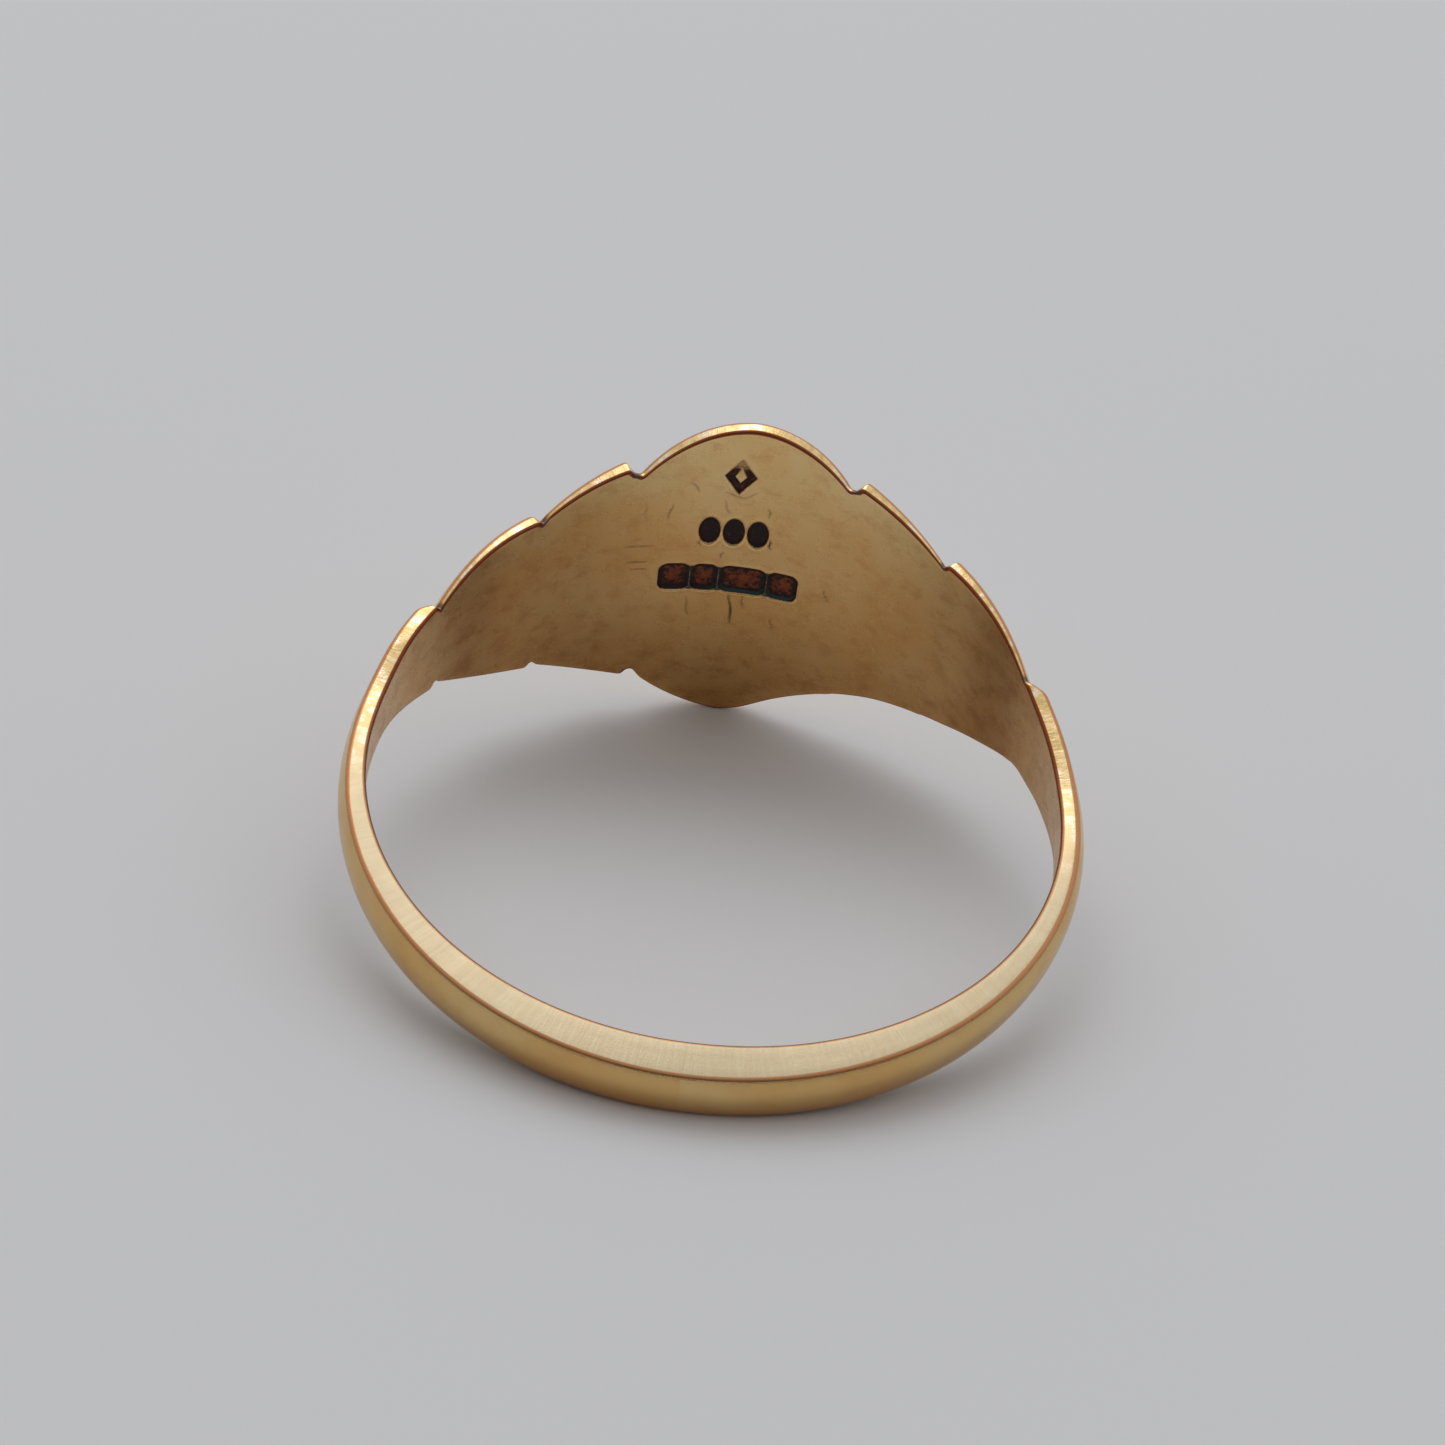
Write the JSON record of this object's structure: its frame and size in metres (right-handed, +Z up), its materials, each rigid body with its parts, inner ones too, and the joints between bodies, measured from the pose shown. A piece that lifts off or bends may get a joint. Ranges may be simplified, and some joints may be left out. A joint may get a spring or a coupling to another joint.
{
  "type": "signet ring",
  "caption": "Small yellow-gold signet ring with an oval head, stepped scalloped shoulders and a slim half-round shank.",
  "frame": {"origin": "middle of the ring's bounding box at the surface that it lies on", "axes": "+Z up from that surface; +Y towards the signet; +X to the wearer's right seen from behind the signet. The ring lies on a table, leaning on the lower tip of the signet and the back of the shank, so the finger hole's axis leans 13 degrees from +Z towards -Y"},
  "size_m": [0.0194, 0.0204, 0.0101],
  "materials": {
    "gold": "9 carat yellow gold, polished outside and softly worn inside, with fine scratches",
    "solder": "gold solder, a shade paler than the ring, flush and polished"
  },
  "bodies": {
    "root": {"signet_head": "gold", "shoulder_left": "gold", "shoulder_right": "gold", "shank_left": "gold", "shank_right": "gold", "solder_head_left": "solder", "solder_head_right": "solder", "solder_shank_left": "solder", "solder_shank_right": "solder", "solder_back": "solder"}
  },
  "joints": []
}
